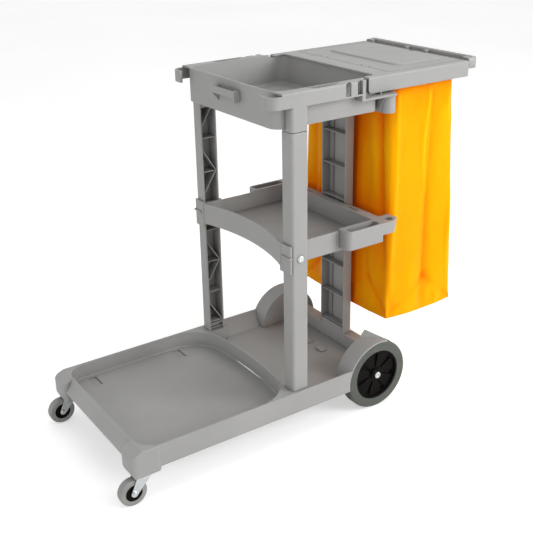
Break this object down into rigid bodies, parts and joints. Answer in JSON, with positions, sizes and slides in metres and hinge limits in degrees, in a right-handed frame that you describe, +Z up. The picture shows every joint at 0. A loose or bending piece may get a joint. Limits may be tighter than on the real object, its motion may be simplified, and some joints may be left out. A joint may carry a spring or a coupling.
{
  "type": "housekeeping cart",
  "caption": "Moulded janitor's cart: bucket platform, three posts, shelf, deep tray, hinged lid over a hanging vinyl bag, push handle, large rear wheels and small swivel casters.",
  "frame": {"origin": "on the floor, under the centre of the overall bounding box", "axes": "+X along the cart's length towards the push handle, -X towards the front platform, +Z up; +Y is the right side of a person pushing the cart towards -X"},
  "size_m": [1.176, 0.5, 0.978],
  "materials": {
    "grey_plastic": "fine moulded grain",
    "yellow_vinyl": "soft coated vinyl sheet",
    "grey_tread": "smooth grey non-marking rubber",
    "light_tread": "smooth light grey non-marking rubber",
    "black_plastic": "moulded, satin",
    "zinc": "bright zinc plating",
    "steel": "plain steel"
  },
  "bodies": {
    "cart": {"base_platform": "grey_plastic", "front_post_left": "grey_plastic", "front_post_right": "grey_plastic", "rear_post": "grey_plastic", "middle_shelf": "grey_plastic", "top_tray": "grey_plastic", "bag_frame": "grey_plastic", "push_handle": "grey_plastic", "lid_hinge_pins": "steel", "bag_snap_pegs": "grey_plastic", "handle_screws": "steel", "frame_screws": "steel", "shelf_screws": "zinc", "waste_bag": "yellow_vinyl", "rear_axle": "steel", "axle_spacers": "steel", "axle_caps": "zinc", "axle_clips": "zinc", "axle_clip_screws": "steel", "caster_stem_left": "steel", "caster_stem_right": "steel"},
    "lid": {"bag_lid": "grey_plastic"},
    "rear_wheel_left": {"rear_tyre_left": "grey_tread", "rear_hub_left": "black_plastic"},
    "caster_left": {"caster_fork_left": "zinc", "caster_bearing_left": "black_plastic", "caster_axle_left": "zinc"},
    "caster_wheel_left": {"caster_tread_left": "light_tread", "caster_hub_left": "black_plastic"},
    "rear_wheel_right": {"rear_tyre_right": "grey_tread", "rear_hub_right": "black_plastic"},
    "caster_right": {"caster_fork_right": "zinc", "caster_bearing_right": "black_plastic", "caster_axle_right": "zinc"},
    "caster_wheel_right": {"caster_tread_right": "light_tread", "caster_hub_right": "black_plastic"}
  },
  "joints": [
    {"name": "lid_hinge", "type": "hinge", "parent": "cart", "child": "lid", "pos_m": [0.284, 0, 0.9655], "axis": [0, -1, 0], "range_deg": [0, 100]},
    {"name": "rear_wheel_left_spin", "type": "hinge", "parent": "cart", "child": "rear_wheel_left", "pos_m": [0.237, -0.217, 0.104], "axis": [0, 1, 0], "continuous": true},
    {"name": "caster_left_swivel", "type": "hinge", "parent": "cart", "child": "caster_left", "pos_m": [-0.5208, -0.229, 0.085], "axis": [0, 0, 1], "continuous": true},
    {"name": "caster_left_wheel_spin", "type": "hinge", "parent": "caster_left", "child": "caster_wheel_left", "pos_m": [-0.5508, -0.229, 0.0372], "axis": [0, 1, 0], "continuous": true},
    {"name": "rear_wheel_right_spin", "type": "hinge", "parent": "cart", "child": "rear_wheel_right", "pos_m": [0.237, 0.217, 0.104], "axis": [0, 1, 0], "continuous": true},
    {"name": "caster_right_swivel", "type": "hinge", "parent": "cart", "child": "caster_right", "pos_m": [-0.5208, 0.229, 0.085], "axis": [0, 0, 1], "continuous": true},
    {"name": "caster_right_wheel_spin", "type": "hinge", "parent": "caster_right", "child": "caster_wheel_right", "pos_m": [-0.5508, 0.229, 0.0372], "axis": [0, 1, 0], "continuous": true}
  ]
}
